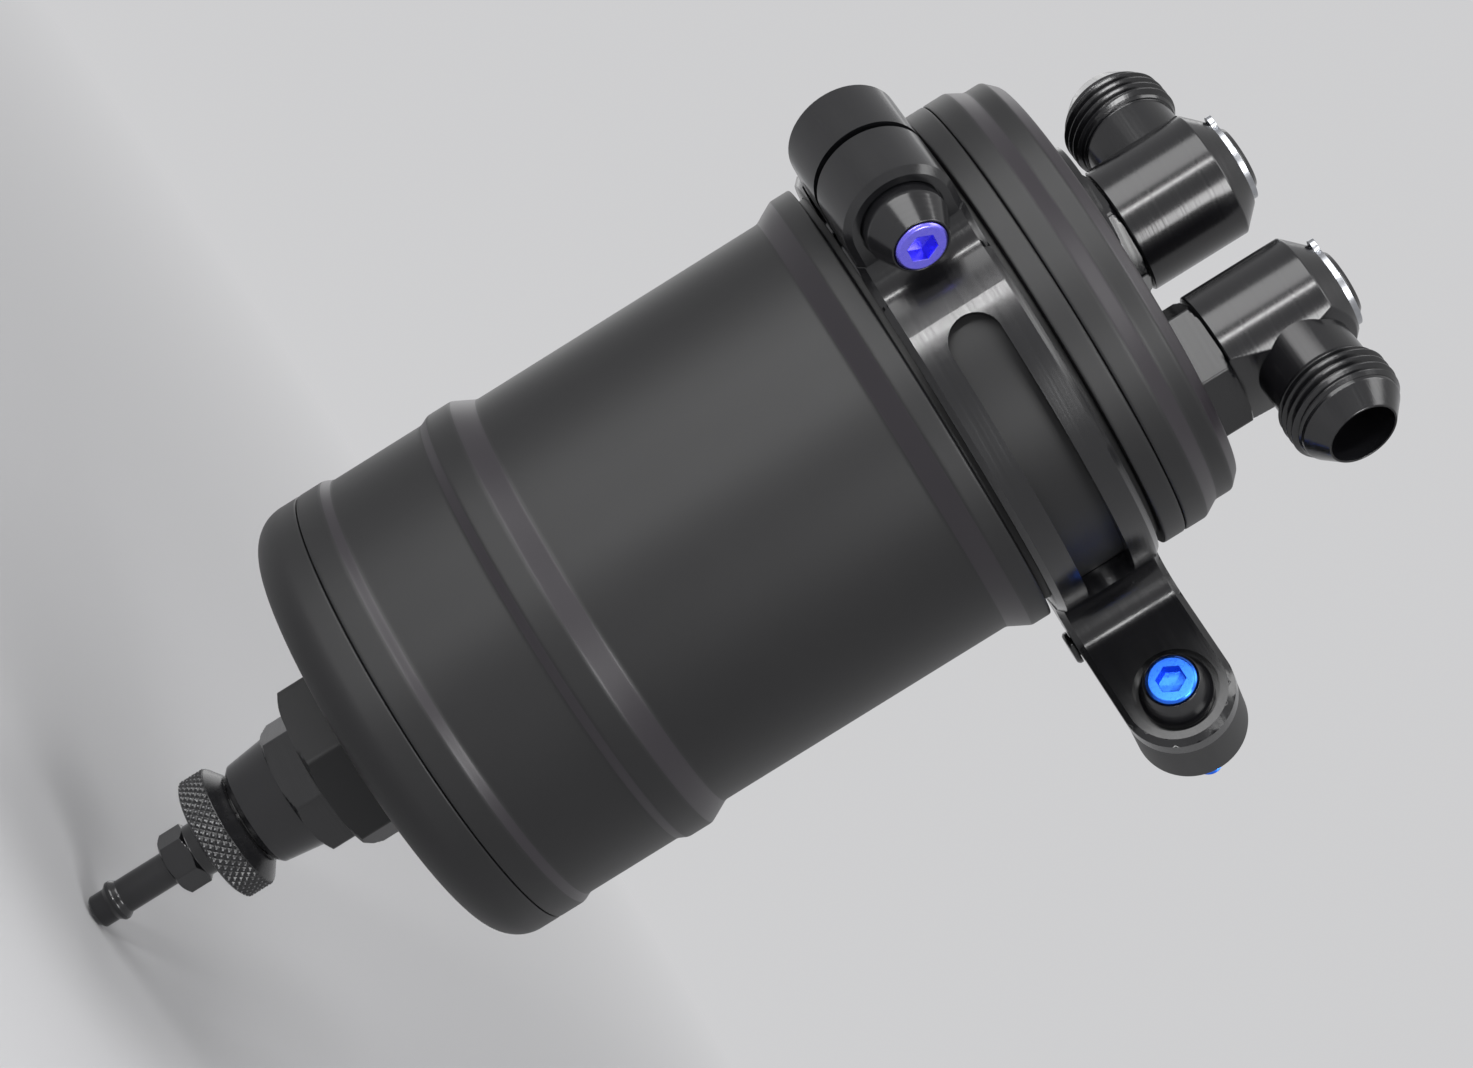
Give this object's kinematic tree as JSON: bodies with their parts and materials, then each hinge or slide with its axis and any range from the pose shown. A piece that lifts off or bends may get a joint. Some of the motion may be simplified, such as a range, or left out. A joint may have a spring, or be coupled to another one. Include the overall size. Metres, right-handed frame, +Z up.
{
  "type": "oil catch can",
  "caption": "Cylindrical crankcase vent separator can in a clamp bracket, with swivelling flare elbows on the lid and a drain valve with a hose tail below.",
  "frame": {"origin": "midway between the two bracket screws, in the wall plane that the spacers rest on", "axes": "+Z up along the can's axis towards the lid, +Y into the wall along the bracket screws, +X across"},
  "size_m": [0.1466, 0.1428, 0.2618],
  "materials": {
    "matte_black": "bead-blasted black anodised",
    "bracket_black": "polished black anodised",
    "fitting_black": "polished black anodised",
    "knurled_black": "knurled black anodised",
    "violet_anodised": "violet-blue anodised",
    "spring_steel": "bright",
    "plain_aluminium": "plain turned",
    "steel_mesh": "wire mesh",
    "brass": "turned",
    "seal_rubber": "matt"
  },
  "bodies": {
    "can": {"can_body": "matte_black", "bottom_cap": "matte_black", "cap_seal": "seal_rubber", "lid": "matte_black", "lid_seal": "seal_rubber", "baffle_plate": "plain_aluminium", "mesh_pad": "steel_mesh", "drop_tube": "plain_aluminium", "port_stem_a": "fitting_black", "port_stem_b": "fitting_black", "stem_seals": "seal_rubber", "post_seals": "seal_rubber", "circlip_a": "spring_steel", "circlip_b": "spring_steel", "port_plug": "fitting_black", "front_band": "bracket_black", "rear_band": "bracket_black", "hinge_pin": "bracket_black", "clamp_screw": "violet_anodised", "clamp_washer": "bracket_black", "bracket_screws": "violet_anodised", "bracket_washers": "bracket_black", "spacers": "matte_black", "drain_adapter": "matte_black", "adapter_seal": "seal_rubber", "valve_body": "fitting_black", "valve_spring": "spring_steel"},
    "elbow_a": {"elbow_a": "fitting_black"},
    "elbow_b": {"elbow_b": "fitting_black"},
    "drain_wheel": {"drain_wheel": "knurled_black"},
    "drain_outlet": {"drain_outlet": "fitting_black", "valve_poppet": "brass"}
  },
  "joints": [
    {"name": "elbow_a_swivel", "type": "hinge", "parent": "can", "child": "elbow_a", "pos_m": [-0.01734, -0.03769, 0.05], "axis": [0, 0, 1], "range_deg": [-100, 100]},
    {"name": "elbow_b_swivel", "type": "hinge", "parent": "can", "child": "elbow_b", "pos_m": [0.02149, -0.04489, 0.05], "axis": [0, 0, 1], "range_deg": [-100, 100]},
    {"name": "wheel_turn", "type": "hinge", "parent": "can", "child": "drain_wheel", "pos_m": [0, -0.0525, -0.165], "axis": [0, 0, 1], "range_deg": [0, 720]},
    {"name": "outlet_lift", "type": "slide", "parent": "can", "child": "drain_outlet", "axis": [0, 0, 1], "range_m": [0, 0.0025], "deforming": ["valve_spring"]}
  ],
  "couplings": [
    {"joint": "outlet_lift", "follows": "wheel_turn", "m_per_rad": 0.00019894}
  ]
}
